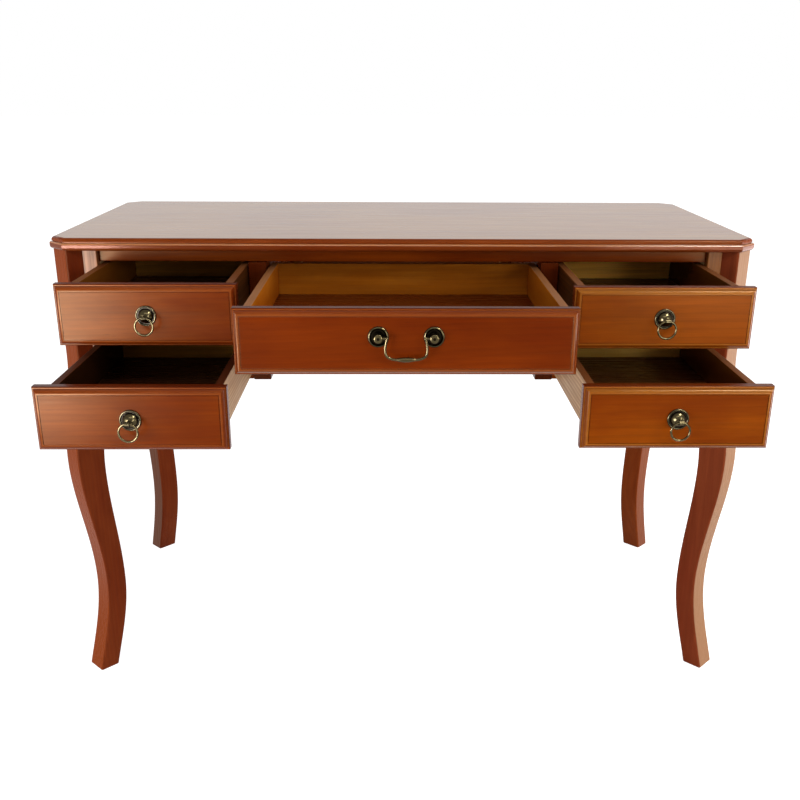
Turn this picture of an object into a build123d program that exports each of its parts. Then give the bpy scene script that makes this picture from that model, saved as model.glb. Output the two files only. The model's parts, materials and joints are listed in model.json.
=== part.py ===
from build123d import *

import math
import os

# A writing desk with five drawers, drawn out as in use. Millimetres, Z up, X to the right, front at -Y.
# The origin lies on the floor, in the middle of the space that the desk takes up with its drawers drawn.

# Desktop
desk_width = 1100
desk_depth = 500
desk_height = 762
corner_cant = 27
band_height = 11.5
band_top_radius = 3
band_bottom_radius = 5
quirk_height = 1
quirk_inset = 4.4
slab_height = 6.5
slab_inset = 3.2
slab_radius = 5.8

# Legs, turned 45 degrees; reaches are measured outwards from the middle of the desktop's cant,
# the bend and the knee down from the desktop's underside, and the ankle up from the floor
leg_width = 40
leg_arris_radius = 3
sole_radius = 1.5
post_inset = 4.8
post_depth = 48
post_bend_drop = 168
knee_drop = 347
knee_reach = 15.6
knee_hollow_drop = 364
knee_depth = 47.5
ankle_height = 162
ankle_reach = -11
ankle_depth = 35.2
foot_reach = 20
foot_depth = 34.3
foot_flare_share = 0.27

# Front frame, measured back from the desktop's front edge
stile_face = 21.6
stile_thickness = 16
stile_width = 28
kneehole_width = 430.6
opening_inset = 72.2
top_rail_height = 20.1
top_rail_recess = 10
rail_recess = 1.5
bottom_rail_rise = 1
pedestal_height = 211
centre_rail_height = 24

# Panels
panel_thickness = 12
side_inset = 24
back_inset = 24

# Drawer boxes and fronts
front_height = 89.5
front_thickness = 20
front_rim_depth = 12.8
front_rim_radius = 2
front_step = 2.8
front_ovolo_radius = 6.4
front_quirk_width = 1.2
front_quirk_depth = 1.2
front_lap_inner = 4.2
front_lap_outer = 20.1
centre_front_lap = 11.6
front_gap = 0.4
box_length = 322.5
side_height = 63
side_thickness = 11.4
back_thickness = 11.5
bottom_thickness = 5
bottom_rise = 8
groove_depth = 6
groove_play = 0.4
side_play = 1.7
running_gap = 0.3
kicker_gap = 3

# Tops of the drawers' fronts, down from the desktop's underside, and how far each drawer is drawn
upper_front_drop = 24.5
lower_front_drop = 136.5
centre_front_drop = 30
drawn_upper_left = 138.4
drawn_upper_right = 153.3
drawn_lower_left = 266.5
drawn_lower_right = 261.5
drawn_centre = 265.4

# Runners and kickers
runner_ledge = 31.7
guide_rise = 12
centre_runner_width = 16.3
kicker_width = 22.7

# Corner blocks and screws; the leg screws' drops are down from the desktop's underside
block_depth = 90
block_face_reach = -85.8
leg_screw_offset = 10.6
leg_screw_radius = 2.5
leg_screw_length = 65
leg_screw_head_radius = 4
leg_screw_head_height = 3
leg_screw_low_drop = 143
leg_screw_high_drop = 43
top_screw_radius = 2
top_screw_length = 27
top_screw_head_radius = 4.5
top_screw_head_height = 3
top_screw_sink = 6
top_screw_setback = 120
screw_play = 0.05
head_play = 0.5

# Ring pulls
rosette_radius = 14.8
rosette_base = 1.2
rosette_bead_radius = 1.4
dome_radius = 11
dome_height = 9.5
dome_shoulder_share = 0.83
eye_out = 17
eye_radius = 3.4
eye_width = 6.5
eye_neck_radius = 2.6
ring_radius = 12.6
ring_wire_radius = 1.5
ring_end_play = 0.6
pivot_play = 0.08
upper_pull_rise = 1
lower_pull_rise = 0.5
stud_radius = 2
nut_radius = 3.5
nut_height = 4

# Bail pull
bail_spacing = 73
bail_rise = 8.6
bail_rosette_radius = 14
bail_dish_radius = 11.6
bail_dish_depth = 2
bail_plate_height = 3
bail_post_radius = 3
bail_knob_radius = 6.2
bail_knob_reach = 3.4
bail_knob_round = 2
bail_dimple_radius = 1.7
bail_dimple_depth = 1.2
bail_out = 10
bail_wire_radius = 1.7
bail_end_play = 0.3
bail_shoulder = 24.8
bail_hip = 27.4
bail_hip_drop = 16
bail_corner = 25.2
bail_corner_drop = 23.5
bail_foot = 18.5
bail_foot_drop = 27.3
bail_drop = 28.2
bail_ball_radius = 2.1
bail_grip_length = 35
bail_grip_radius = 3.3

# Worked out from the sizes above
diagonal = math.sqrt(0.5)
half_width = desk_width / 2
desktop_thickness = band_height + quirk_height + slab_height
underside = desk_height - desktop_thickness
post_bend_height = underside - post_bend_drop
knee_height = underside - knee_drop
knee_hollow_height = underside - knee_hollow_drop
pedestal_bottom = underside - pedestal_height
upper_front_top = underside - upper_front_drop
lower_front_top = underside - lower_front_drop
centre_front_top = underside - centre_front_drop
closed_face = stile_face - front_gap - front_thickness
ring_pull_reach = drawn_lower_left + eye_out + eye_radius
bail_pull_reach = drawn_centre + bail_out + bail_knob_reach
drawn_reach = max(ring_pull_reach, bail_pull_reach) - closed_face
foot_corner = (foot_reach + leg_width / 2) * diagonal - corner_cant / 2
foot_overhang = foot_corner - leg_arris_radius * (math.sqrt(2) - 1)
front_edge = (drawn_reach - desk_depth - foot_overhang) / 2
rear_edge = front_edge + desk_depth
stile_front = front_edge + stile_face
stile_back = stile_front + stile_thickness
rail_front = stile_front + rail_recess
top_rail_front = stile_front + top_rail_recess
top_rail_back = top_rail_front + stile_thickness
top_rail_bottom = underside - top_rail_height
back_face = rear_edge - back_inset
back_inner = back_face - panel_thickness
knee_half = kneehole_width / 2
opening_inner = knee_half + stile_width
opening_outer = half_width - opening_inset
drawer_opening = opening_outer - opening_inner
side_panel_face = half_width - side_inset
pedestal_inner = knee_half + panel_thickness
side_inner = side_panel_face - panel_thickness
upper_side_bottom = upper_front_top - side_height
lower_side_bottom = lower_front_top - side_height
centre_side_bottom = centre_front_top - side_height
mid_rail_bottom = lower_front_top + kicker_gap
centre_rail_bottom = centre_side_bottom - running_gap - centre_rail_height
groove_reach = groove_depth - groove_play

# The two side faces of a leg lie on lines of constant |X| + distance from the desktop's near edge
leg_centre_sum = half_width
leg_inner_sum = leg_centre_sum - leg_width / 2 / diagonal
leg_outer_sum = leg_centre_sum + leg_width / 2 / diagonal
# Its inner face lies on a line of constant |X| - distance from that edge
cant_difference = half_width - corner_cant
leg_back_difference = cant_difference - (post_inset + post_depth) / diagonal
block_face_difference = cant_difference + block_face_reach / diagonal

side_names = {-1: "left", 1: "right"}
end_names = {-1: "front", 1: "rear"}


def edge_y(end, distance):
    """The Y of a place that lies a distance in from the desktop's front (-1) or rear (1) edge."""
    return front_edge + distance if end < 0 else rear_edge - distance


def upright(name, corners, bottom, top):
    """A board or block that stands on its outline, given by its corners seen from above."""
    with BuildPart() as board:
        with BuildSketch(Plane.XY.offset(bottom)):
            with BuildLine():
                Polyline(*corners, close=True)
            make_face()
        extrude(amount=top - bottom)
    board.part.label = name
    return board


def corners_of(x_from, x_to, y_from, y_to):
    """The four corners of a rectangle seen from above."""
    return [(x_from, y_from), (x_to, y_from), (x_to, y_to), (x_from, y_to)]


def keep(piece, name):
    """Names a finished piece and writes its file."""
    piece.part.label = name
    export_step(piece.part, f"parts/{name}.step")


def leg_plane(side, end):
    """A plane along a leg's diagonal: x outwards from the middle of the cant, y up."""
    corner = (side * (half_width - corner_cant / 2), edge_y(end, corner_cant / 2), 0)
    return Plane(origin=corner, x_dir=(side, end, 0), z_dir=(end, -side, 0))


def leg_screw_plane(side, end, height):
    """The seat of a leg screw's head on the corner block, looking out of the block."""
    along = Vector(side, end, 0) * diagonal
    across = Vector(side, -end, 0) * diagonal
    seat = leg_plane(side, end).origin + along * block_face_reach + across * leg_screw_offset
    return Plane(origin=seat + Vector(0, 0, height), x_dir=(0, 0, 1), z_dir=along)


def desktop_outline(inset):
    """The canted rectangle of the desktop, drawn in by an inset."""
    rectangle = Rectangle(desk_width, desk_depth)
    chamfer(rectangle.vertices(), corner_cant)
    if inset:
        offset(amount=-inset, kind=Kind.INTERSECTION, mode=Mode.REPLACE)


os.makedirs("parts", exist_ok=True)

# Places of the screws
leg_screw_planes = [
    leg_screw_plane(side, end, height)
    for side in side_names
    for end in end_names
    for height in (underside - leg_screw_low_drop, underside - leg_screw_high_drop)
]
kicker_lines = (
    knee_half - centre_runner_width / 2,
    pedestal_inner + kicker_width / 2,
    opening_outer - kicker_width / 2,
)
top_screw_places = [
    (side * line, edge_y(end, top_screw_setback))
    for side in side_names
    for end in end_names
    for line in kicker_lines
]

# The desktop: a rounded slab on a bullnose band, with a thin quirk between them
desktop_centre = (front_edge + rear_edge) / 2


def desktop_plane(height):
    """A level plane at a height, centred on the desktop."""
    return Plane(origin=(0, desktop_centre, height))


with BuildPart() as desktop:
    with BuildSketch(desktop_plane(underside)):
        desktop_outline(0)
    extrude(amount=band_height)
    fillet(desktop.edges().group_by(Axis.Z)[-1], band_top_radius)
    fillet(desktop.edges().group_by(Axis.Z)[0], band_bottom_radius)
    with BuildSketch(desktop_plane(underside + band_height)):
        desktop_outline(quirk_inset)
    extrude(amount=quirk_height)
    with BuildSketch(desktop_plane(desk_height - slab_height)):
        desktop_outline(slab_inset)
    extrude(amount=slab_height)
    fillet(desktop.faces().sort_by(Axis.Z)[-1].edges(), slab_radius)
    with BuildSketch(Plane.XY.offset(underside)):
        with Locations(*top_screw_places):
            Circle(top_screw_radius + screw_play)
    extrude(amount=top_screw_length - (top_rail_height - top_screw_sink) + screw_play, mode=Mode.SUBTRACT)
keep(desktop, "desktop")

# The legs: a square post that swells to a knee, narrows to an ankle and kicks out at the foot
for side in side_names:
    for end in end_names:
        plane = leg_plane(side, end)
        with BuildPart() as leg:
            with BuildSketch(plane):
                with BuildLine():
                    outer = Spline(
                        (-post_inset, post_bend_height),
                        (knee_reach, knee_height),
                        (ankle_reach, ankle_height),
                        (foot_reach, 0),
                        tangents=[(0, -1), (0, -1), (0, -1), (foot_flare_share, -1)],
                    )
                    inner = Spline(
                        (-post_inset - post_depth, post_bend_height),
                        (knee_reach - knee_depth, knee_hollow_height),
                        (ankle_reach - ankle_depth, ankle_height),
                        (foot_reach - foot_depth, 0),
                        tangents=[(0, -1), (0, -1), (0, -1), (foot_flare_share, -1)],
                    )
                    top_outer = (-post_inset, underside)
                    top_inner = (-post_inset - post_depth, underside)
                    Polyline(outer @ 0, top_outer, top_inner, inner @ 0)
                    Line(outer @ 1, inner @ 1)
                make_face()
            extrude(amount=leg_width / 2, both=True)
            cheeks = leg.faces().filter_by(Axis(plane.origin, plane.z_dir))
            ends = leg.faces().filter_by(Axis.Z)
            fillet(cheeks.edges() - ends.edges(), leg_arris_radius)
            fillet(leg.faces().sort_by(Axis.Z)[0].edges(), sole_radius)
            for screw_plane in leg_screw_planes:
                if screw_plane.origin.X * side > 0 and (screw_plane.origin.Y - desktop_centre) * end > 0:
                    with BuildSketch(screw_plane):
                        Circle(leg_screw_radius + screw_play)
                    extrude(amount=leg_screw_length + screw_play, mode=Mode.SUBTRACT)
        keep(leg, f"leg_{end_names[end]}_{side_names[side]}")

# The outer stiles: cut at 45 degrees to lie on the legs' faces
for side in side_names:
    outline = [
        (side * opening_outer, stile_front),
        (side * (leg_inner_sum - stile_face), stile_front),
        (side * (leg_inner_sum - stile_face - stile_thickness), stile_back),
        (side * opening_outer, stile_back),
    ]
    outer_stile = upright("outer_stile", outline, pedestal_bottom, underside)
    keep(outer_stile, f"outer_stile_{side_names[side]}")

# The inner stiles, under the top rail
for side in side_names:
    outline = corners_of(side * knee_half, side * opening_inner, stile_front, stile_back)
    inner_stile = upright("inner_stile", outline, pedestal_bottom, top_rail_bottom)
    keep(inner_stile, f"inner_stile_{side_names[side]}")

# The rails
outline = corners_of(-opening_outer, opening_outer, top_rail_front, top_rail_back)
keep(upright("top_rail", outline, top_rail_bottom, underside), "top_rail")

outline = corners_of(-knee_half, knee_half, rail_front, stile_back)
centre_rail = upright("centre_rail", outline, centre_rail_bottom, centre_rail_bottom + centre_rail_height)
keep(centre_rail, "centre_rail")

rail_levels = {
    "mid_rails": (mid_rail_bottom, upper_side_bottom - running_gap),
    "bottom_rails": (pedestal_bottom + bottom_rail_rise, lower_side_bottom - running_gap),
}
for name, (bottom, top) in rail_levels.items():
    with BuildPart() as rails:
        with BuildSketch(Plane.XY.offset(bottom)):
            for side in side_names:
                with Locations((side * (opening_inner + opening_outer) / 2, (rail_front + stile_back) / 2)):
                    Rectangle(drawer_opening, stile_back - rail_front)
        extrude(amount=top - bottom)
    keep(rails, name)

# The side panels, their ends cut at 45 degrees to lie on the legs
for side in side_names:
    near_outer = leg_outer_sum - side_panel_face
    near_inner = leg_outer_sum - side_inner
    outline = [
        (side * side_panel_face, edge_y(-1, near_outer)),
        (side * side_panel_face, edge_y(1, near_outer)),
        (side * side_inner, edge_y(1, near_inner)),
        (side * side_inner, edge_y(-1, near_inner)),
    ]
    side_panel = upright("side_panel", outline, pedestal_bottom, underside)
    keep(side_panel, f"side_panel_{side_names[side]}")

# The panels beside the kneehole, notched for the top rail
for side in side_names:
    with BuildPart() as pedestal_panel:
        with BuildSketch(Plane.YZ.offset(side * knee_half)):
            with BuildLine():
                Polyline(
                    (stile_back, pedestal_bottom),
                    (stile_back, top_rail_bottom),
                    (top_rail_back, top_rail_bottom),
                    (top_rail_back, underside),
                    (back_inner, underside),
                    (back_inner, pedestal_bottom),
                    close=True,
                )
            make_face()
        extrude(amount=side * panel_thickness)
    keep(pedestal_panel, f"pedestal_panel_{side_names[side]}")

# The back: one panel behind each pedestal and one behind the wide drawer
with BuildPart() as back_panels:
    for side in side_names:
        with BuildSketch(Plane.XY.offset(pedestal_bottom)):
            with BuildLine():
                Polyline(
                    (side * knee_half, back_face),
                    (side * (leg_inner_sum - back_inset), back_face),
                    (side * (leg_inner_sum - back_inset - panel_thickness), back_inner),
                    (side * knee_half, back_inner),
                    close=True,
                )
            make_face()
        extrude(amount=underside - pedestal_bottom)
keep(back_panels, "back_panels")

outline = corners_of(-knee_half, knee_half, back_inner, back_face)
keep(upright("back_panel_centre", outline, centre_rail_bottom, underside), "back_panel_centre")

# The corner blocks: posts glued behind the legs, with a flat seat for the leg screws
with BuildPart() as corner_blocks:
    for side in side_names:
        for end, board in ((-1, stile_face + stile_thickness), (1, back_inset + panel_thickness)):
            outline = [
                (opening_outer, board),
                (leg_back_difference + board, board),
                (side_inner, side_inner - leg_back_difference),
                (side_inner, block_depth),
                (block_face_difference + block_depth, block_depth),
                (opening_outer, opening_outer - block_face_difference),
            ]
            with BuildSketch(Plane.XY.offset(pedestal_bottom)):
                with BuildLine():
                    Polyline(*[(side * x, edge_y(end, inward)) for x, inward in outline], close=True)
                make_face()
            extrude(amount=underside - pedestal_bottom)
    for screw_plane in leg_screw_planes:
        with BuildSketch(screw_plane):
            Circle(leg_screw_radius + screw_play)
        extrude(amount=leg_screw_length, mode=Mode.SUBTRACT)
keep(corner_blocks, "corner_blocks")


def across_plane(y):
    """A plane across the desk at a Y, drawn in X and Z and seen from the front."""
    return Plane(origin=(0, y, 0), x_dir=(1, 0, 0), z_dir=(0, -1, 0))


def runner_profiles(side, ledge_bottom, side_bottom):
    """The outlines of a small drawer's two runners: a ledge under each side, with a guide beside it."""
    ledge_top = side_bottom - running_gap
    guide_top = ledge_top + guide_rise
    inner_ledge_end = pedestal_inner + runner_ledge
    outer_ledge_end = opening_outer - (inner_ledge_end - opening_inner)
    inner = [
        (side * pedestal_inner, ledge_bottom),
        (side * inner_ledge_end, ledge_bottom),
        (side * inner_ledge_end, ledge_top),
        (side * opening_inner, ledge_top),
        (side * opening_inner, guide_top),
        (side * pedestal_inner, guide_top),
    ]
    outer = [
        (side * side_inner, ledge_bottom),
        (side * outer_ledge_end, ledge_bottom),
        (side * outer_ledge_end, ledge_top),
        (side * opening_outer, ledge_top),
        (side * opening_outer, guide_top),
        (side * side_inner, guide_top),
    ]
    return inner, outer


def build_runners(name, ledge_bottom, side_bottom):
    """The runners of one level: inner ones from stile to back, outer ones between the corner blocks."""
    block_front = edge_y(-1, block_depth)
    block_rear = edge_y(1, block_depth)
    with BuildPart() as runners:
        for side in side_names:
            inner, outer = runner_profiles(side, ledge_bottom, side_bottom)
            for profile, y_from, y_to in ((inner, stile_back, back_inner), (outer, block_front, block_rear)):
                with BuildSketch(across_plane(y_from)):
                    with BuildLine():
                        Polyline(*profile, close=True)
                    make_face()
                extrude(amount=y_from - y_to)
    keep(runners, name)


# The runners of the small drawers; the upper ones also keep the lower drawers from tipping
build_runners("upper_runners", mid_rail_bottom, upper_side_bottom)
build_runners("lower_runners", pedestal_bottom, lower_side_bottom)

# The runners of the wide drawer
with BuildPart() as centre_runners:
    with BuildSketch(Plane.XY.offset(centre_rail_bottom)):
        for side in side_names:
            with Locations((side * (knee_half - centre_runner_width / 2), (stile_back + back_inner) / 2)):
                Rectangle(centre_runner_width, back_inner - stile_back)
    extrude(amount=centre_rail_height)
keep(centre_runners, "centre_runners")

# The kickers above the drawer sides, which the desktop is screwed to
kicker_widths = (centre_runner_width, kicker_width, kicker_width)
kicker_middle = (top_rail_back + back_inner) / 2
with BuildPart() as kickers:
    with BuildSketch(Plane.XY.offset(top_rail_bottom)):
        for side in side_names:
            for line, width in zip(kicker_lines, kicker_widths):
                with Locations((side * line, kicker_middle)):
                    Rectangle(width, back_inner - top_rail_back)
    extrude(amount=top_rail_height)
    with BuildSketch(Plane.XY.offset(top_rail_bottom)):
        with Locations(*top_screw_places):
            Circle(top_screw_radius + screw_play)
    extrude(amount=top_rail_height, mode=Mode.SUBTRACT)
    with BuildSketch(Plane.XY.offset(top_rail_bottom)):
        with Locations(*top_screw_places):
            Circle(top_screw_head_radius + head_play)
    extrude(amount=top_screw_sink, mode=Mode.SUBTRACT)
keep(kickers, "kickers")

# The screws of the desktop and of the legs
with BuildPart() as top_screws:
    with BuildSketch(Plane.XY.offset(top_rail_bottom + top_screw_sink)):
        with Locations(*top_screw_places):
            Circle(top_screw_radius)
    extrude(amount=top_screw_length)
    with BuildSketch(Plane.XY.offset(top_rail_bottom + top_screw_sink)):
        with Locations(*top_screw_places):
            Circle(top_screw_head_radius)
    extrude(amount=-top_screw_head_height)
keep(top_screws, "top_screws")

with BuildPart() as leg_screws:
    for screw_plane in leg_screw_planes:
        with BuildSketch(screw_plane):
            Circle(leg_screw_radius)
        extrude(amount=leg_screw_length)
        with BuildSketch(screw_plane):
            Circle(leg_screw_head_radius)
        extrude(amount=-leg_screw_head_height)
keep(leg_screws, "leg_screws")


def build_front(name, x_from, x_to, box_from, box_to, top, back_y, studs):
    """A drawer front: a rounded rim, a step, an ovolo and a quirk round a flat field."""
    width = x_to - x_from
    middle = ((x_from + x_to) / 2, back_y, top - front_height / 2)
    plane = Plane(origin=middle, x_dir=(1, 0, 0), z_dir=(0, -1, 0))
    field_inset = front_step + front_ovolo_radius
    panel_middle = top - side_height + bottom_rise + bottom_thickness / 2
    panel_width = box_to - box_from - 2 * (side_thickness - groove_depth)
    with BuildPart() as front:
        with BuildSketch(plane):
            Rectangle(width, front_height)
        extrude(amount=front_rim_depth)
        fillet(front.faces().sort_by(Axis.Y)[0].edges(), front_rim_radius)
        with BuildSketch(plane.offset(front_rim_depth)):
            Rectangle(width - 2 * front_step, front_height - 2 * front_step)
        extrude(amount=front_thickness - front_rim_depth)
        fillet(front.faces().sort_by(Axis.Y)[0].edges(), front_ovolo_radius)
        with BuildSketch(plane.offset(front_thickness)):
            Rectangle(width - 2 * field_inset, front_height - 2 * field_inset)
            quirk_end = field_inset + front_quirk_width
            Rectangle(width - 2 * quirk_end, front_height - 2 * quirk_end, mode=Mode.SUBTRACT)
        extrude(amount=-front_quirk_depth, mode=Mode.SUBTRACT)
        with BuildSketch(across_plane(back_y)):
            with Locations(((box_from + box_to) / 2, panel_middle)):
                Rectangle(panel_width, bottom_thickness)
        extrude(amount=groove_depth, mode=Mode.SUBTRACT)
        with BuildSketch(across_plane(back_y)):
            with Locations(*studs):
                Circle(stud_radius + screw_play)
        extrude(amount=front_thickness, mode=Mode.SUBTRACT)
    keep(front, f"{name}_front")


def build_box(name, box_from, box_to, top, front_back):
    """The sides, back and bottom of a drawer, with the bottom held in grooves."""
    bottom = top - side_height
    end_y = front_back + box_length
    middle_y = (front_back + end_y) / 2
    panel_bottom = bottom + bottom_rise
    side_middles = (box_from + side_thickness / 2, box_to - side_thickness / 2)
    inner_middle = (box_from + box_to) / 2
    inner_width = box_to - box_from - 2 * side_thickness
    with BuildPart() as sides:
        with BuildSketch(Plane.XY.offset(bottom)):
            with Locations(*[(x, middle_y) for x in side_middles]):
                Rectangle(side_thickness, box_length)
        extrude(amount=side_height)
        with BuildSketch(Plane.XY.offset(panel_bottom)):
            with Locations((inner_middle, middle_y)):
                Rectangle(inner_width + 2 * groove_depth, box_length)
        extrude(amount=bottom_thickness, mode=Mode.SUBTRACT)
    keep(sides, f"{name}_sides")
    with BuildPart() as bottom_panel:
        with BuildSketch(Plane.XY.offset(panel_bottom)):
            with Locations((inner_middle, middle_y - groove_reach / 2)):
                Rectangle(inner_width + 2 * groove_reach, box_length + groove_reach)
        extrude(amount=bottom_thickness)
    keep(bottom_panel, f"{name}_bottom")
    with BuildPart() as back:
        with BuildSketch(Plane.XY.offset(panel_bottom + bottom_thickness)):
            with Locations((inner_middle, end_y - back_thickness / 2)):
                Rectangle(inner_width, back_thickness)
        extrude(amount=side_height - bottom_rise - bottom_thickness)
    keep(back, f"{name}_back")


def side_plane(x, y, z):
    """An upright plane along a pull's axis: x out of the drawer front, y up, seen from the left."""
    return Plane(origin=(x, y, z), x_dir=(0, -1, 0), z_dir=(-1, 0, 0))


def build_ring_pull(name, x, z, face_y):
    """A domed rosette with an eye, and the ring that hangs in it."""
    bead_end = rosette_radius - 2 * rosette_bead_radius
    bead_middle = (rosette_base + rosette_bead_radius, rosette_radius - rosette_bead_radius)
    shoulder_out = rosette_base + (dome_height - rosette_base) * dome_shoulder_share
    outwards = Plane(origin=(x, face_y, z), x_dir=(1, 0, 0), z_dir=(0, -1, 0))
    with BuildPart() as pull:
        with BuildSketch(side_plane(x, face_y, z)):
            with BuildLine():
                Polyline((dome_height, 0), (0, 0), (0, rosette_radius), (rosette_base, rosette_radius))
                ThreePointArc((rosette_base, rosette_radius), bead_middle, (rosette_base, bead_end))
                Line((rosette_base, bead_end), (rosette_base, dome_radius))
                ThreePointArc((rosette_base, dome_radius), (shoulder_out, dome_radius / 2), (dome_height, 0))
            make_face()
        revolve(axis=Axis((x, face_y, z), (0, 1, 0)))
        with BuildSketch(outwards):
            Circle(eye_neck_radius)
        extrude(amount=eye_out)
        with BuildSketch(side_plane(x, face_y, z)):
            with Locations((eye_out, 0)):
                Circle(eye_radius)
        extrude(amount=eye_width / 2, both=True)
        with BuildSketch(side_plane(x, face_y, z)):
            with Locations((eye_out, 0)):
                Circle(ring_wire_radius + pivot_play)
        extrude(amount=eye_width, both=True, mode=Mode.SUBTRACT)
        with BuildSketch(outwards):
            Circle(stud_radius)
        extrude(amount=-front_thickness - nut_height)
        with BuildSketch(outwards.offset(-front_thickness)):
            Circle(nut_radius)
            Circle(stud_radius + screw_play, mode=Mode.SUBTRACT)
        extrude(amount=-nut_height)
    keep(pull, f"{name}_pull")
    straight = eye_width / 2 + ring_end_play
    drop = math.sqrt(ring_radius**2 - straight**2)
    pivot_y = face_y - eye_out
    with BuildPart() as ring:
        with BuildLine(Plane(origin=(x, pivot_y, z), x_dir=(1, 0, 0), z_dir=(0, -1, 0))):
            hoop = ThreePointArc((straight, 0), (0, -drop - ring_radius), (-straight, 0))
        with BuildSketch(Plane(origin=hoop @ 0, z_dir=hoop % 0)):
            Circle(ring_wire_radius)
        sweep()
        with BuildSketch(Plane(origin=(x, pivot_y, z), z_dir=(1, 0, 0))):
            Circle(ring_wire_radius)
        extrude(amount=straight, both=True)
        with Locations((x - straight, pivot_y, z), (x + straight, pivot_y, z)):
            Sphere(ring_wire_radius)
    keep(ring, f"{name}_ring")


def build_bail_pull(name, z, face_y):
    """Two dished rosettes with a post and knob each, and the bail that swings between them."""
    half = bail_spacing / 2
    dish_floor = bail_plate_height - bail_dish_depth
    rim_width = bail_rosette_radius - bail_dish_radius
    rim_middle = (bail_plate_height * diagonal, bail_dish_radius + rim_width * diagonal)
    rim_edge = (bail_plate_height, bail_dish_radius)
    with BuildPart() as posts:
        for x in (-half, half):
            outwards = Plane(origin=(x, face_y, z), x_dir=(1, 0, 0), z_dir=(0, -1, 0))
            with BuildSketch(side_plane(x, face_y, z)):
                with BuildLine():
                    Polyline((dish_floor, 0), (0, 0), (0, bail_rosette_radius))
                    ThreePointArc((0, bail_rosette_radius), rim_middle, rim_edge)
                    dish_start = (dish_floor, bail_dish_radius - bail_dish_depth)
                    Polyline(rim_edge, dish_start, (dish_floor, 0))
                make_face()
            revolve(axis=Axis((x, face_y, z), (0, 1, 0)))
            with BuildSketch(outwards):
                Circle(bail_post_radius)
            extrude(amount=bail_out)
            with BuildSketch(outwards.offset(bail_out - bail_knob_reach)):
                Circle(bail_knob_radius)
            extrude(amount=2 * bail_knob_reach)
            knob_face = posts.faces(Select.LAST).sort_by(Axis.Y)[0]
            fillet(knob_face.edges(), bail_knob_round)
            with BuildSketch(outwards.offset(bail_out + bail_knob_reach)):
                Circle(bail_dimple_radius)
            extrude(amount=-bail_dimple_depth, mode=Mode.SUBTRACT)
            with BuildSketch(side_plane(x, face_y, z)):
                with Locations((bail_out, 0)):
                    Circle(bail_wire_radius + pivot_play)
            extrude(amount=2 * bail_knob_radius, both=True, mode=Mode.SUBTRACT)
            with BuildSketch(outwards):
                Circle(stud_radius)
            extrude(amount=-front_thickness - nut_height)
            with BuildSketch(outwards.offset(-front_thickness)):
                Circle(nut_radius)
                Circle(stud_radius + screw_play, mode=Mode.SUBTRACT)
            extrude(amount=-nut_height)
    keep(posts, f"{name}_pull_posts")
    with BuildPart() as bail:
        with BuildLine(Plane.XZ):
            half_bend = [
                (bail_foot, -bail_foot_drop),
                (bail_corner, -bail_corner_drop),
                (bail_hip, -bail_hip_drop),
                (bail_shoulder, 0),
            ]
            other_bend = [(-x, y) for x, y in reversed(half_bend)]
            arm = Spline(*other_bend, (0, -bail_drop), *half_bend)
        with BuildSketch(Plane(origin=arm @ 0, z_dir=arm % 0)):
            Circle(bail_wire_radius)
        sweep()
        for side in side_names:
            with BuildSketch(Plane(origin=(side * bail_shoulder, 0, 0), z_dir=(side, 0, 0))):
                Circle(bail_wire_radius)
            extrude(amount=half - bail_shoulder + bail_knob_radius + bail_end_play)
            with Locations((side * bail_shoulder, 0, 0)):
                Sphere(bail_ball_radius)
        with BuildSketch(Plane(origin=(0, 0, -bail_drop), x_dir=(1, 0, 0), z_dir=(0, -1, 0))):
            with BuildLine():
                grip_end = bail_grip_length / 2
                ThreePointArc((-grip_end, 0), (0, bail_grip_radius), (grip_end, 0))
                Line((-grip_end, 0), (grip_end, 0))
            make_face()
        revolve(axis=Axis((0, 0, -bail_drop), (1, 0, 0)))
    # The bail is shaped round the middle of its pivots and then placed on them
    with BuildPart() as placed_bail:
        with Locations((0, face_y - bail_out, z)):
            add(bail.part)
    keep(placed_bail, f"{name}_bail")


# The four small drawers, each drawn as far as in use
small_drawers = {
    "upper_left": (-1, upper_front_top, drawn_upper_left, upper_pull_rise),
    "lower_left": (-1, lower_front_top, drawn_lower_left, lower_pull_rise),
    "upper_right": (1, upper_front_top, drawn_upper_right, upper_pull_rise),
    "lower_right": (1, lower_front_top, drawn_lower_right, lower_pull_rise),
}
for place, (side, top, drawn, pull_rise) in small_drawers.items():
    name = f"{place}_drawer"
    front_back = stile_front - front_gap - drawn
    face_y = front_back - front_thickness
    front_ends = [side * (opening_inner - front_lap_inner), side * (opening_outer + front_lap_outer)]
    box_ends = [side * (opening_inner + side_play), side * (opening_outer - side_play)]
    front_from, front_to = sorted(front_ends)
    box_from, box_to = sorted(box_ends)
    pull_x = (front_from + front_to) / 2
    pull_z = top - front_height / 2 + pull_rise
    build_front(name, front_from, front_to, box_from, box_to, top, front_back, [(pull_x, pull_z)])
    build_box(name, box_from, box_to, top, front_back)
    build_ring_pull(name, pull_x, pull_z, face_y)

# The wide drawer over the kneehole
name = "centre_drawer"
front_back = stile_front - front_gap - drawn_centre
front_to = knee_half + centre_front_lap
box_to = knee_half - side_play
pull_z = centre_front_top - front_height / 2 + bail_rise
studs = [(-bail_spacing / 2, pull_z), (bail_spacing / 2, pull_z)]
build_front(name, -front_to, front_to, -box_to, box_to, centre_front_top, front_back, studs)
build_box(name, -box_to, box_to, centre_front_top, front_back)
build_bail_pull(name, pull_z, front_back - front_thickness)
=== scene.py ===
import json
import math

import bmesh
import bpy
from mathutils import Matrix, Vector

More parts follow.
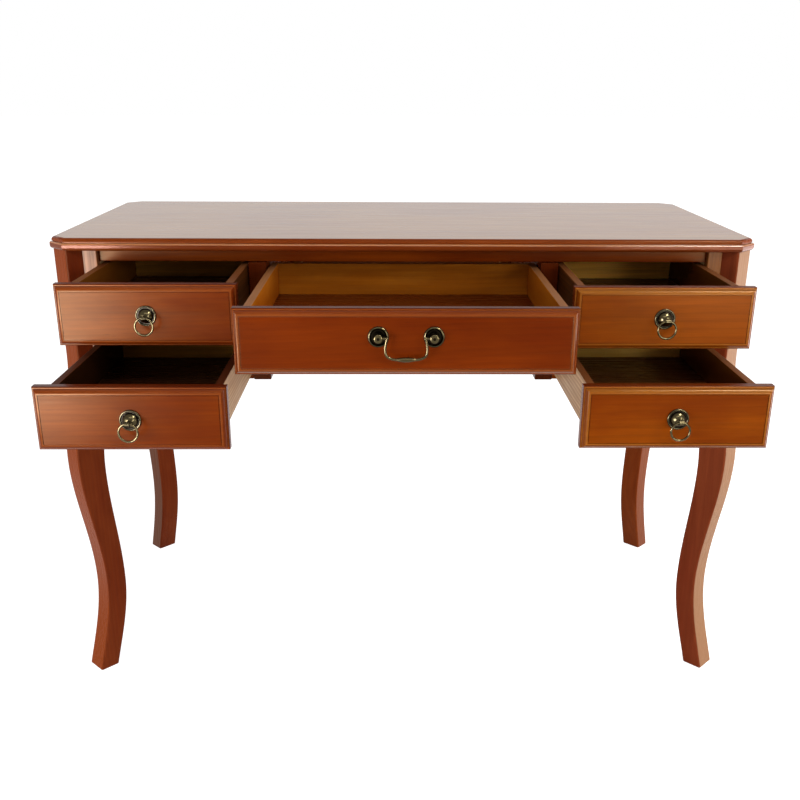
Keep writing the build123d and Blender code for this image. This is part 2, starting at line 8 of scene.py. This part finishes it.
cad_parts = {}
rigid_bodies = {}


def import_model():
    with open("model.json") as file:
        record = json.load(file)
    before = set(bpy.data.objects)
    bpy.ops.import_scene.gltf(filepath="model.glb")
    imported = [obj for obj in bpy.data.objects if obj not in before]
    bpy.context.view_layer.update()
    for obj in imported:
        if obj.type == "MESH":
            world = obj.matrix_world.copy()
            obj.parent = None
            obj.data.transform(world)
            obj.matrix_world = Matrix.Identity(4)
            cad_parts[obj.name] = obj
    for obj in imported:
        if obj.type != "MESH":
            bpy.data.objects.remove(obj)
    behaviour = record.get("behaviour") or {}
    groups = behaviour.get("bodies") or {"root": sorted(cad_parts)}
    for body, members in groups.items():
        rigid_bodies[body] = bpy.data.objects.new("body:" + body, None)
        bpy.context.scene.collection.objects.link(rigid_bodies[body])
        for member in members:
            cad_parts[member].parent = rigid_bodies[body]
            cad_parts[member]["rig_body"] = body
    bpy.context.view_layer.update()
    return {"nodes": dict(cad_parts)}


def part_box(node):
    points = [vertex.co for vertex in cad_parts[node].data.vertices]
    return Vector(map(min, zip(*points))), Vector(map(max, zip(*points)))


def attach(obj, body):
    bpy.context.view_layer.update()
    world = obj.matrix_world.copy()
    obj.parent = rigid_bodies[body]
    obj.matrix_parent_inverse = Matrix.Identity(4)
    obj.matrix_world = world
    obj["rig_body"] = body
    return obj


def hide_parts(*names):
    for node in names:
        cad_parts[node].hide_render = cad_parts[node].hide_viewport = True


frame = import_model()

# The looks of a writing desk with five drawers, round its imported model. Metres, Z up, front at -Y.

mm = 0.001
axes = {"X": 0, "Y": 1, "Z": 2}
drawers = ("upper_left", "lower_left", "upper_right", "lower_right", "centre")
small_drawers = drawers[:4]
sides = ("left", "right")
ends = ("front", "rear")


# Shader trees, written as calls

def tone(name):
    """A colour written as six hex digits in sRGB, as the linear numbers that a shader takes."""
    parts = [int(name[i:i + 2], 16) / 255 for i in (0, 2, 4)]
    return [p / 12.92 if p <= 0.04045 else ((p + 0.055) / 1.055) ** 2.4 for p in parts] + [1.0]


def new_tree(name):
    """An empty material and its node tree."""
    material = bpy.data.materials.new(name)
    material.use_nodes = True
    material.node_tree.nodes.clear()
    return material, material.node_tree


def node(tree, kind, inputs=None, **settings):
    """A shader node; each input is a number, a colour, or another node's output that is linked to it."""
    made = tree.nodes.new(kind)
    for key, value in settings.items():
        setattr(made, key, value)
    for key, value in (inputs or {}).items():
        if isinstance(value, bpy.types.NodeSocket):
            tree.links.new(value, made.inputs[key])
        else:
            made.inputs[key].default_value = value
    return made


def object_coordinates(tree):
    """Places in the piece's own frame, which is the desk's."""
    return node(tree, "ShaderNodeTexCoord").outputs["Object"]


def math_node(tree, operation, a, b=0.0, clamp=False):
    """A sum, a product or the like of two numbers."""
    return node(tree, "ShaderNodeMath", {0: a, 1: b}, operation=operation, use_clamp=clamp).outputs[0]


def vector_math(tree, operation, a, b=(0, 0, 0)):
    """A vector's length or the dot product of two as a number, or else a vector."""
    made = node(tree, "ShaderNodeVectorMath", {0: a, 1: b}, operation=operation)
    return made.outputs["Value" if operation in ("LENGTH", "DOT_PRODUCT") else "Vector"]


def mixed(tree, share, a, b):
    """Colour b laid over colour a by a share."""
    return node(tree, "ShaderNodeMix", {0: share, 6: a, 7: b}, data_type="RGBA").outputs[2]


def ranged(tree, value, low, high, to_low=0.0, to_high=1.0, smooth=False):
    """A value's range low to high, mapped to another range and clamped there."""
    kind = "SMOOTHSTEP" if smooth else "LINEAR"
    inputs = {"Value": value, "From Min": low, "From Max": high, "To Min": to_low, "To Max": to_high}
    return node(tree, "ShaderNodeMapRange", inputs, interpolation_type=kind).outputs["Result"]


def mapped(tree, vector, location=(0, 0, 0), rotation=(0, 0, 0), scale=(1, 1, 1)):
    """A vector scaled, then turned, then moved."""
    inputs = {"Vector": vector, "Location": location, "Rotation": rotation, "Scale": scale}
    return node(tree, "ShaderNodeMapping", inputs).outputs["Vector"]


def noise(tree, vector, scale=1.0, detail=2.0, roughness=0.5):
    """A soft random field from 0 to 1, the same in every run."""
    inputs = {"Vector": vector, "Scale": scale, "Detail": detail, "Roughness": roughness}
    return node(tree, "ShaderNodeTexNoise", inputs).outputs[0]


def principled(tree, inputs, height=None, bump=0.0, relief=0.0):
    """The surface shader with the material's output, and bump from a height if there is one."""
    shader = node(tree, "ShaderNodeBsdfPrincipled", inputs)
    if height is not None:
        bumped = node(tree, "ShaderNodeBump", {"Height": height, "Strength": bump, "Distance": relief})
        tree.links.new(bumped.outputs[0], shader.inputs["Normal"])
    node(tree, "ShaderNodeOutputMaterial", {"Surface": shader.outputs[0]})


# Wood

# Each noise in the wood: its scale along the grain and across it, its detail and its roughness
wood_noises = {
    "warp": (1.6, 7, 3, 0.5),
    "slow": (0.9, 2.6, 1, 0.5),
    "fibres": (9, 420, 3, 0.6),
    "streaks": (3.2, 120, 3, 0.65),
    "pores": (70, 1500, 1, 0.5),
    "mottle": (4, 11, 4, 0.55),
    "clouds": (5, 9, 2, 0.5),
}
# Where a noise starts to show as a feature and where it shows in full, and whether it eases in
wood_features = {
    "fibres": (0.4, 0.75, False),
    "streaks": (0.35, 0.7, False),
    "pores": (0.66, 0.74, False),
    "mottle": (0.35, 0.65, True),
    "clouds": (0.55, 0.3, True),
}
pith = (0.05, 0.21, 0.06)
pith_tilt = (0.02, 0.025, -0.02)
ring_wave = 5.0
late_wood = (0.25, 0.9)
year_end = (1.0, 0.93)
mottle_share = 0.75
streak_share = 0.45
fibre_share = 0.4
fibre_relief = 0.4 * mm
noise_span = (0.3, 0.7)
smoother, rougher = 0.04, 0.05
# Painted light on the faces that look one way: how far they face it where it starts and where it is full,
# and its share in the dark tone
faded_facing = (0.35, 0.6)
faded_dark_share = 0.8


def stretched(grain, along, across):
    """A scale for each axis: one along the grain and one across it."""
    scale = [across] * 3
    scale[axes[grain]] = along
    return scale


def growth_rings(tree, grain, placed, bends, ring_spacing):
    """Rings round a pith that lies askew, bent by slow noises: each darkens to its end and stops short."""
    tilted = mapped(tree, placed, location=pith, rotation=pith_tilt)
    radius = vector_math(tree, "LENGTH", vector_math(tree, "MULTIPLY", tilted, stretched(grain, 0, 1)))
    years = math_node(tree, "DIVIDE", radius, ring_spacing)
    for bend in bends:
        years = math_node(tree, "ADD", years, math_node(tree, "MULTIPLY", bend, ring_wave))
    year = math_node(tree, "FRACT", years)
    return math_node(tree, "MULTIPLY", ranged(tree, year, *late_wood), ranged(tree, year, *year_end))


def wood_figure(tree, grain, place, ring_spacing):
    """A board's features, each from 0 to 1, and the relief of its fibres."""
    placed = mapped(tree, object_coordinates(tree), location=place)
    noises = {}
    for name, (along, across, detail, roughness) in wood_noises.items():
        scaled = mapped(tree, placed, scale=stretched(grain, along, across))
        noises[name] = noise(tree, scaled, detail=detail, roughness=roughness)
    figure = {"relief": noises["fibres"]}
    for name, (low, high, smooth) in wood_features.items():
        figure[name] = ranged(tree, noises[name], low, high, smooth=smooth)
    bends = (noises["warp"], noises["slow"])
    figure["rings"] = growth_rings(tree, grain, placed, bends, ring_spacing)
    return figure


def faded_tones(tree, tones, direction, pale, most):
    """Dark, middle and light tones that turn to a pale one on the faces that look one way: painted light
    on the faces that the lamps light.
    """
    normal = node(tree, "ShaderNodeTexCoord").outputs["Normal"]
    facing = vector_math(tree, "DOT_PRODUCT", normal, direction)
    share = ranged(tree, facing, *faded_facing, 0.0, most, smooth=True)
    dark_share = math_node(tree, "MULTIPLY", share, faded_dark_share)
    return [mixed(tree, part, old, tone(pale)) for part, old in zip((dark_share, share, share), tones)]


def wood(name, grain, tones, place, ring_spacing=8 * mm, rings=0.14, fibres=0.55, clouds=0.16, pores=0.3,
         gloss=0.27, shine=0.07, shine_tint="ffd79c", coat=0.0, coat_gloss=0.1, bump=0.12, faded=None):
    """
    Stained and lacquered wood from a dark, a middle and a light tone.

    Rings, fibres, clouds and pores say how far each darkens it. Where it has painted light on one side,
    that gives the way that the lit faces look, their pale colour and its share.
    """
    material, tree = new_tree(name)
    figure = wood_figure(tree, grain, place, ring_spacing)
    tones = [tone(t) for t in tones]
    dark, middle, light = faded_tones(tree, tones, *faded) if faded else tones
    colour = mixed(tree, math_node(tree, "MULTIPLY", figure["mottle"], mottle_share), middle, light)
    darkening = {
        "clouds": clouds,
        "streaks": streak_share * fibres,
        "rings": rings,
        "fibres": fibre_share * fibres,
        "pores": pores,
    }
    for feature, share in darkening.items():
        colour = mixed(tree, math_node(tree, "MULTIPLY", figure[feature], share), colour, dark)
    roughness = ranged(tree, figure["relief"], *noise_span, gloss - smoother, gloss + rougher)
    inputs = {
        "Base Color": colour,
        "Roughness": roughness if bump else gloss,
        "Specular IOR Level": shine,
        "Specular Tint": tone(shine_tint),
        "Coat Weight": coat,
        "Coat Roughness": coat_gloss,
    }
    principled(tree, inputs, figure["relief"], bump, fibre_relief)
    return material


# Brass and steel

dark_brass, dull_brass = "17130c", "25211a"
bright_brass, wire_brass = "4c432c", "463d28"
dark_steel, bright_steel = "8f8f8c", "c2c2bd"
tarnish_scale = 180
tarnish_limits = (0.3, 0.62)
least_bright = 0.8
brass_roughness = (0.18, 0.26)
steel_roughness = (0.3, 0.45)
scratch_scale = 900
scratch_bump = 0.1
scratch_relief = 0.2 * mm
wear_edge = 0.5 * mm


def brass(name, worn=None, dark=dark_brass, bright=bright_brass):
    """Antique brass, nearly black; worn gives the share rubbed bright from a tree and coordinates."""
    material, tree = new_tree(name)
    coordinates = object_coordinates(tree)
    tarnish = noise(tree, coordinates, scale=tarnish_scale)
    share = ranged(tree, tarnish, *tarnish_limits, least_bright, 1.0)
    if worn:
        share = math_node(tree, "MULTIPLY", share, worn(tree, coordinates))
    colour = mixed(tree, share, tone(dark), tone(bright))
    roughness = ranged(tree, tarnish, *noise_span, *brass_roughness)
    principled(tree, {"Base Color": colour, "Metallic": 1.0, "Roughness": roughness})
    return material


def worn_rosette(centres, bright):
    """Wear round the middles of rosettes, each an X and a Z; bright lists radii and their rubbed share."""
    def worn(tree, coordinates):
        total = 0.0
        for x, z in centres:
            from_middle = mapped(tree, coordinates, location=(-x, 0, -z))
            radius = vector_math(tree, "LENGTH", vector_math(tree, "MULTIPLY", from_middle, (1, 0, 1)))
            for inner, outer, share in bright:
                entered = ranged(tree, radius, inner - wear_edge, inner + wear_edge)
                left = ranged(tree, radius, outer - wear_edge, outer + wear_edge, share, 0.0)
                ring = math_node(tree, "MULTIPLY", entered, left)
                total = math_node(tree, "ADD", total, ring, clamp=True)
        return total
    return worn


def steel(name):
    """Zinc-grey steel with fine scratches."""
    material, tree = new_tree(name)
    scratches = noise(tree, mapped(tree, object_coordinates(tree), scale=[scratch_scale] * 3), detail=3)
    colour = mixed(tree, scratches, tone(dark_steel), tone(bright_steel))
    roughness = ranged(tree, scratches, *noise_span, *steel_roughness)
    inputs = {"Base Color": colour, "Metallic": 1.0, "Roughness": roughness}
    principled(tree, inputs, scratches, scratch_bump, scratch_relief)
    return material


# The finishes of the desk: dark, middle and light tones of each stain

wood_tones = {
    # Desktop
    "top": ("6c380c", "965a10", "ad7420"),
    "slab": ("4e1806", "76300c", "8a3e14"),
    # A painted highlight, for the band's upper rounding
    "band_highlight": ("8a4a20", "a8622e", "b8743c"),
    "band": ("4e1c06", "702c0c", "823c14"),
    # Legs, stiles, panels and the wood inside
    # The legs are lit and shaded copies of one stain, each painted lighter or darker for the light on it
    "left_leg": ("3e1407", "662610", "7c3618"),
    "right_leg": ("4c1e10", "76301a", "884024"),
    "rear_leg": ("501e0a", "7c3412", "904620"),
    # The outer stiles' light tones are partly their own paler wood and partly painted sheen
    "left_stile": ("3c1a0a", "a2663e", "bc8058"),
    "right_stile": ("4a240c", "965622", "aa6a32"),
    "shadow_red": ("300e02", "481604", "561e06"),
    "board": ("3c1a0b", "6c3414", "7e4420"),
    "plain": ("8a6540", "b89468", "cfae80"),
    # Drawer fronts: the lines and upper sides of their mouldings carry painted highlights and painted
    # light
    "red": ("481602", "6e2603", "904008"),
    "red_rim": ("3c1003", "561a03", "682406"),
    "red_ovolo": ("4a1704", "6a2406", "7c3208"),
    # Painted highlight and painted light on the red mouldings
    "red_line": ("602408", "823a10", "924818"),
    "red_crest": ("521c06", "76300e", "884016"),
    "golden": ("562002", "7a3003", "9a4a06"),
    "golden_rim": ("461604", "642405", "743008"),
    "golden_ovolo": ("582204", "783506", "884408"),
    # Painted highlight and painted light on the golden mouldings
    "golden_line": ("703408", "965216", "a66220"),
    "golden_crest": ("643006", "8e4e0e", "a05e1a"),
    "deep": ("441402", "682103", "823105"),
    "amber": ("5c2a06", "9c5610", "b47020"),
    # Sides of drawers: but for the streaky outsides, lit and shaded copies of one stain, as painted light
    # and shade
    "shade_brown": ("2c1204", "4c2408", "5a300c"),
    "shaded": ("140802", "241004", "2e1606"),
    "half_lit": ("40220a", "68380e", "764414"),
    "lit_amber": ("702c06", "b05a0e", "c8761e"),
    "streaky": ("8a5c36", "c09668", "dcc09c"),
    "edge": ("502612", "784422", "8a5630"),
    "lit_edge": ("6a3c20", "9c6438", "ac7448"),
    "shaded_edge": ("2c1008", "4c2210", "5a2e18"),
    # Backs and bottoms of drawers: but for amber, lit and shaded copies, as painted light and shade
    "brightly_lit_olive": ("b87c2c", "ffb446", "ffc860"),
    "lit_dusky": ("7c4c18", "b07828", "c08838"),
    "lit_olive": ("9c7830", "e4b454", "f2c870"),
    "floor": ("360f03", "5e2206", "70300c"),
    "shaded_floor": ("3c200c", "583418", "68401e"),
    "deep_shade_floor": ("160a04", "2a1408", "34190a"),
}

finishes = {"wire": brass("brass_wire_finish", bright=wire_brass), "steel": steel("steel_finish")}

# Each board is cut from its own place in the figure: steps from one to the next, and where they wrap round
place_steps = ((0.37, 2.3), (0.23, 1.7), (0.31, 1.9))
board_places = {}
for index, name in enumerate(sorted(frame["nodes"])):
    board_places[name] = tuple(step * index % span for step, span in place_steps)


def finish_of(kind, grain, board, **changes):
    """A wood finish for one board, with its own stretch of the figure."""
    key = f"{kind}_{grain}_{len(finishes)}"
    finishes[key] = wood(key, grain, wood_tones[kind], board_places[board], **changes)
    return finishes[key]


# Boards: copies of the CAD nodes with their arrises eased

weld_distance = 1e-6
flat_angle = 0.01
sharp_angle = 0.6
arris_segments = 2
frame_easing = 1.2 * mm
drawer_side_easing = 1.0 * mm
panel_easing = 0.8 * mm
back_panel_easing = 0.6 * mm
front_easing = 0.4 * mm
drawer_bottom_easing = 0.3 * mm


def eased(name, width, paint):
    """A copy of a CAD node with its arrises rounded, which stands for the node."""
    source = frame["nodes"][name]
    shape = bmesh.new()
    shape.from_mesh(source.data)
    bmesh.ops.remove_doubles(shape, verts=shape.verts, dist=weld_distance)
    bmesh.ops.dissolve_limit(shape, angle_limit=flat_angle, verts=shape.verts, edges=shape.edges)
    arrises = [e for e in shape.edges if e.is_manifold and e.calc_face_angle() > sharp_angle]
    bmesh.ops.bevel(
        shape, geom=arrises, offset=width, segments=arris_segments, profile=0.5, affect="EDGES",
        clamp_overlap=True,
    )
    mesh = bpy.data.meshes.new(f"{name}_eased")
    shape.to_mesh(mesh)
    shape.free()
    custom = mesh.attributes.get("custom_normal")
    if custom:
        mesh.attributes.remove(custom)
    mesh.materials.clear()
    mesh.shade_smooth()
    piece = bpy.data.objects.new(f"{name}_piece", mesh)
    bpy.context.scene.collection.objects.link(piece)
    weighted = piece.modifiers.new("weighted", "WEIGHTED_NORMAL")
    weighted.keep_sharp = True
    paint(piece)
    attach(piece, source["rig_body"])
    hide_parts(name)


def all_over(material):
    """A paint that gives the whole piece one material."""
    def paint(piece):
        piece.data.materials.append(material)
    return paint


def by_side(materials, choose):
    """A paint that picks a material for each face from its centre and its normal."""
    def paint(piece):
        for material in materials.values():
            piece.data.materials.append(material)
        names = list(materials)
        for face in piece.data.polygons:
            face.material_index = names.index(choose(face.center, face.normal))
    return paint


def dressed(name, material):
    """Gives a CAD node a finish and leaves its shape."""
    for slot in frame["nodes"][name].material_slots:
        slot.material = material


# A face looks a way when its normal reaches this far along it
wholly, mostly, partly = 0.99, 0.7, 0.3


# Desktop

slab_height = 7 * mm
band_rounding = 3 * mm
slab_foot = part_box("desktop")[1].z - slab_height


def desktop_face(centre, normal):
    """The flat top is polished, and the band's upper rounding has a light line that is a painted
    highlight.
    """
    if centre.z > slab_foot:
        return "top" if normal.z > wholly else "slab"
    if centre.z > slab_foot - band_rounding and normal.z > partly:
        return "highlight"
    return "band"


desktop_paints = {
    "top": finish_of("top", "X", "desktop", coat=0.62, coat_gloss=0.2, gloss=0.3),
    "slab": finish_of("slab", "X", "desktop"),
    "highlight": finish_of("band_highlight", "X", "desktop", coat=0.8, coat_gloss=0.14),
    "band": finish_of("band", "X", "desktop", shine=0.12, gloss=0.15, shine_tint="ffc4a4"),
}
eased("desktop", panel_easing, by_side(desktop_paints, desktop_face))


# Stiles, panels, legs, rails and the wood inside

stile_looks = {"shine": 0.085, "shine_tint": "ffe4c4", "fibres": 1.2, "rings": 0.4}
# Each leg's wood and shine, and its painted light: the way that the faces lit from the side look, their
# colour, its share
leg_looks = {
    "leg_front_left": ("left_leg", 0.04, ((-1, 0, 0), "84380a", 0.9)),
    "leg_rear_left": ("left_leg", 0.04, ((-1, 0, 0), "68402e", 0.9)),
    "leg_front_right": ("right_leg", 0.02, ((1, 0, 0), "946e50", 0.9)),
    "leg_rear_right": ("rear_leg", 0.04, ((1, 0, 0), "6c3c26", 0.8)),
}
for side in sides:
    outer, inner = f"outer_stile_{side}", f"inner_stile_{side}"
    eased(outer, frame_easing, all_over(finish_of(f"{side}_stile", "Z", outer, **stile_looks)))
    eased(inner, frame_easing, all_over(finish_of("shadow_red", "Z", inner)))
    for panel in (f"side_panel_{side}", f"pedestal_panel_{side}"):
        eased(panel, panel_easing, all_over(finish_of("red", "Y", panel)))
    for end in ends:
        leg = f"leg_{end}_{side}"
        kind, leg_shine, faded = leg_looks[leg]
        dressed(leg, finish_of(kind, "Z", leg, shine=leg_shine, faded=faded))
for rail in ("top_rail", "centre_rail", "mid_rails", "bottom_rails"):
    eased(rail, frame_easing, all_over(finish_of("red", "X", rail, fibres=0.8, shine=0.08)))
for panel in ("back_panels", "back_panel_centre"):
    eased(panel, back_panel_easing, all_over(finish_of("board", "X", panel)))
for bare in ("corner_blocks", "upper_runners", "lower_runners", "centre_runners", "kickers"):
    dressed(bare, finish_of("plain", "Y", bare, gloss=0.6, shine=0.2))
for screws in ("top_screws", "leg_screws"):
    dressed(screws, finishes["steel"])


# Drawers

# The wood of each drawer, as light or dark as the photograph shows it, with painted light and shade on its
# sides,
# back and floor: its front's stain and field, the outside, inside and upper edge of its sides, its back
# and its floor
drawer_woods = {
    "upper_left": ("red", "red", "shade_brown", "half_lit", "edge", "lit_dusky", "shaded_floor"),
    "lower_left": ("red", "red", "streaky", "shaded", "shaded_edge", "lit_dusky", "deep_shade_floor"),
    "upper_right": ("golden", "golden", "shade_brown", "shade_brown", "edge", "brightly_lit_olive", "shaded_floor"),
    "lower_right": ("golden", "golden", "streaky", "shade_brown", "edge", "lit_olive", "shaded_floor"),
    "centre": ("red", "deep", "streaky", "lit_amber", "lit_edge", "amber", "floor"),
}
outside_looks = {"gloss": 0.5, "shine": 0.1, "ring_spacing": 6 * mm, "rings": 0.7, "fibres": 1.2}
inside_looks = {"shine": 0.06, "fibres": 0.15, "rings": 0, "pores": 0, "bump": 0}
back_looks = {"shine": 0.1, "fibres": 0.8, "clouds": 0.4}
floor_looks = {"fibres": 0.3, "rings": 0.05, "pores": 0}
plain_moulding_shine = 0.12
centre_moulding_shine = 0.6

# Where the zones of a front start or end, as depths behind its field; the painted highlight lines lie in
# front of the inner depth and behind the outer one
field_depth = 0.02 * mm
inner_highlight_depth = 0.5 * mm
outer_highlight_depth = 6.8 * mm
rim_depth = 7.4 * mm


def side_face(middle):
    """Which face of a drawer's side a point is on, for a box with its middle at an X."""
    def choose(centre, normal):
        if abs(normal.x) < mostly:
            return "edge"
        return "inside" if normal.x * (centre.x - middle) < 0 else "outside"
    return choose


def front_zone(face_y):
    """Which part of a drawer's front a face is in, by its depth behind the field, which lies at a Y."""
    def choose(centre, normal):
        depth = centre.y - face_y
        if normal.y > mostly:
            return "back"
        if depth < field_depth:
            return "field"
        if depth > rim_depth:
            return "rim"
        # Painted highlights along the lines by the field and by the rim, and painted light on the
        # moulding's upper side
        if normal.z > -partly and (depth > outer_highlight_depth or depth < inner_highlight_depth):
            return "highlight"
        return "lit_crest" if normal.z > partly else "ovolo"
    return choose


def paint_front(front, stain, field, moulding_shine):
    """A front whose moulding has painted highlights along its lines and painted light on its upper side.
    """
    paints = {
        "field": finish_of(field, "X", front, gloss=0.235),
        "highlight": finish_of(f"{stain}_line", "X", front, shine=0.12),
        "ovolo": finish_of(f"{stain}_ovolo", "X", front, shine=moulding_shine, gloss=0.2),
        "lit_crest": finish_of(f"{stain}_crest", "X", front, shine=0.12, gloss=0.2),
        "rim": finish_of(f"{stain}_rim", "X", front),
        "back": finish_of("amber", "X", front),
    }
    eased(front, front_easing, by_side(paints, front_zone(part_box(front)[0].y)))


def paint_sides(boards, outside, inside, edge):
    """Both sides of a drawer: streaked outside or painted in shade there, with painted light or shade
    inside, and a tone of their own along their edges, painted lighter or darker.
    """
    low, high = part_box(boards)
    paints = {
        "outside": finish_of(outside, "Y", boards, **outside_looks),
        "inside": finish_of(inside, "Y", boards, **inside_looks),
        "edge": finish_of(edge, "Y", boards, shine=0.03, gloss=0.45),
    }
    eased(boards, drawer_side_easing, by_side(paints, side_face((low.x + high.x) / 2)))


for place in drawers:
    stain, field, outside, inside, edge, back, floor = drawer_woods[place]
    moulding_shine = centre_moulding_shine if place == "centre" else plain_moulding_shine
    paint_front(f"{place}_drawer_front", stain, field, moulding_shine)
    paint_sides(f"{place}_drawer_sides", outside, inside, edge)
    board = f"{place}_drawer_back"
    eased(board, panel_easing, all_over(finish_of(back, "X", board, **back_looks)))
    board = f"{place}_drawer_bottom"
    eased(board, drawer_bottom_easing, all_over(finish_of(floor, "X", board, **floor_looks)))


# Pulls: each rosette is rubbed on its rim and on the top of its dome or knob

# Zones as shares of the rosette's radius, from and to, with the share rubbed bright there
dome_zone_shares = ((0.0, 0.66, 0.7), (0.85, 1.2, 0.5))
knob_zone_shares = ((0.14, 0.4, 1.0), (0.87, 1.2, 0.75))


def rosette_wear(name, rosettes, zone_shares):
    """Wear for the rosettes of a piece: one in its middle at 0, or one at each end at -1 and 1."""
    low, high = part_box(name)
    middle = (low + high) / 2
    radius = (high.z - low.z) / 2
    reach = (high.x - low.x) / 2 - radius
    centres = [(middle.x + rosette * reach, middle.z) for rosette in rosettes]
    zones = [(inner * radius, outer * radius, share) for inner, outer, share in zone_shares]
    return worn_rosette(centres, zones)


for place in small_drawers:
    pull = f"{place}_drawer_pull"
    dressed(pull, brass(f"{pull}_finish", rosette_wear(pull, (0,), dome_zone_shares), dark=dull_brass))
    dressed(f"{place}_drawer_ring", finishes["wire"])
posts = "centre_drawer_pull_posts"
dressed(posts, brass(f"{posts}_finish", rosette_wear(posts, (-1, 1), knob_zone_shares)))
dressed("centre_drawer_bail", finishes["wire"])


# Floor, world, lamps and camera

white = (1.0, 1.0, 1.0)
bluish = (0.84, 0.84, 1.0)
floor_grey = (0.4, 0.4, 0.4)
floor_radius = 30
floor_corners = 96
near_floor_whiteness = 0.92
near_floor, far_floor = 0.8, 3.0
daylight = 0.4
both, gleam, light = (True, True), (True, False), (False, True)
# Each lamp: its place, the point that it faces, its width and height, its power, what it does, its colour.
# A gleam is seen in gloss alone, and a light falls on matt surfaces alone.
lamps = {
    "left_window": ((-1.5, -1.7, 0.5), (-0.3, -0.3, 0.55), (0.6, 0.7), 22, both, white),
    "left_gleam": ((-1.2, -1.87, 0.36), (-0.3, -0.3, 0.55), (0.5, 0.7), 108, gleam, bluish),
    "left_strip": ((-1.9, -1.3, 0.4), (-0.3, -0.4, 0.6), (0.35, 0.7), 8, both, white),
    "right_window": ((1.5, -1.8, 1.15), (0.2, -0.2, 0.6), (0.6, 0.6), 14, both, white),
    "right_gleam": ((1.02, -1.87, 0.58), (0.4, -0.2, 0.7), (0.6, 0.26), 15, gleam, white),
    "right_strip": ((1.9, -1.1, 0.5), (0.3, -0.4, 0.6), (0.3, 0.7), 5, both, white),
    "roof_window": ((0.1, -1.75, 2.1), (0, -0.2, 0.7), (1.9, 0.3), 14, both, white),
    "side_window": ((1.9, 0.3, 0.6), (0.5, 0, 0.4), (0.9, 1.0), 40, light, white),
    "side_gleam": ((1.9, 0.6, 0.3), (0.5, 0, 0.4), (0.8, 0.6), 7, gleam, white),
    "roof_gleam": ((1.0, -0.75, 2.0), (0.4, -0.3, 0.7), (0.6, 0.4), 45, gleam, white),
}


def shown_ray(tree):
    """1 for the rays that show the background: from the camera, mirrored or seen through."""
    path = node(tree, "ShaderNodeLightPath")
    shown = math_node(tree, "MAXIMUM", path.outputs["Is Camera Ray"], path.outputs["Is Glossy Ray"])
    return math_node(tree, "MAXIMUM", shown, path.outputs["Is Transmission Ray"])


def stage_floor():
    """A pale floor, wide enough that its edge is out of sight, and plain white far from the desk."""
    material, tree = new_tree("studio_floor")
    distance = vector_math(tree, "LENGTH", object_coordinates(tree))
    whiteness = ranged(tree, distance, near_floor, far_floor, near_floor_whiteness, 1.0, smooth=True)
    matt = node(tree, "ShaderNodeBsdfDiffuse", {"Color": (*floor_grey, 1.0)})
    shown = math_node(tree, "MULTIPLY", shown_ray(tree), whiteness)
    glow = node(tree, "ShaderNodeEmission", {"Strength": shown})
    surface = node(tree, "ShaderNodeAddShader", {0: matt.outputs[0], 1: glow.outputs[0]})
    node(tree, "ShaderNodeOutputMaterial", {"Surface": surface.outputs[0]})
    shape = bmesh.new()
    bmesh.ops.create_circle(shape, cap_ends=True, radius=floor_radius, segments=floor_corners)
    mesh = bpy.data.meshes.new("studio_floor")
    shape.to_mesh(mesh)
    shape.free()
    mesh.materials.append(material)
    floor_piece = bpy.data.objects.new("studio_floor", mesh)
    bpy.context.scene.collection.objects.link(floor_piece)


def white_world():
    """A world that shows white and lights the desk at a lower level."""
    world = bpy.data.worlds.new("studio_world")
    world.use_nodes = True
    tree = world.node_tree
    tree.nodes.clear()
    strength = ranged(tree, shown_ray(tree), 0.0, 1.0, daylight, 1.0)
    glow = node(tree, "ShaderNodeBackground", {"Color": (*white, 1.0), "Strength": strength})
    node(tree, "ShaderNodeOutputWorld", {"Surface": glow.outputs[0]})
    bpy.context.scene.world = world


def soft_lamp(name, place, aim, size, power, shown_in, colour):
    """An upright soft lamp that faces a point and that the camera doesn't see."""
    data = bpy.data.lights.new(name, "AREA")
    data.shape = "RECTANGLE"
    data.size, data.size_y = size
    data.energy = power
    data.color = colour
    lamp = bpy.data.objects.new(name, data)
    lamp.location = place
    lamp.rotation_euler = (Vector(aim) - Vector(place)).to_track_quat("-Z", "Y").to_euler()
    lamp.visible_camera = False
    lamp.visible_glossy, lamp.visible_diffuse = shown_in
    bpy.context.scene.collection.objects.link(lamp)


def photo_camera():
    """The camera of the photograph: 800 pixels square, its optical centre below the picture's."""
    picture = 800
    focal_pixels = 955.7
    centre_x, centre_y = 405.8, 440.0
    pitch, yaw, roll = math.radians(20.5), math.radians(0.9), math.radians(0.3)
    place = Vector((-18.9, -1590.9, 987.0)) * mm
    ahead = Vector((math.sin(yaw) * math.cos(pitch), math.cos(yaw) * math.cos(pitch), -math.sin(pitch)))
    level = Vector((math.cos(yaw), -math.sin(yaw), 0))
    upright = level.cross(ahead)
    right = level * math.cos(roll) + upright * math.sin(roll)
    up = upright * math.cos(roll) - level * math.sin(roll)
    data = bpy.data.cameras.new("photo_camera")
    data.sensor_width = 36
    data.lens = focal_pixels / picture * data.sensor_width
    data.shift_x = (picture / 2 - centre_x) / picture
    data.shift_y = (centre_y - picture / 2) / picture
    camera = bpy.data.objects.new("photo_camera", data)
    columns = Matrix((right, up, -ahead)).transposed()
    camera.matrix_world = Matrix.Translation(place) @ columns.to_4x4()
    bpy.context.scene.collection.objects.link(camera)
    bpy.context.scene.camera = camera


stage_floor()
white_world()
for name, settings in lamps.items():
    soft_lamp(name, *settings)
photo_camera()
bpy.context.scene.view_settings.view_transform = "Standard"
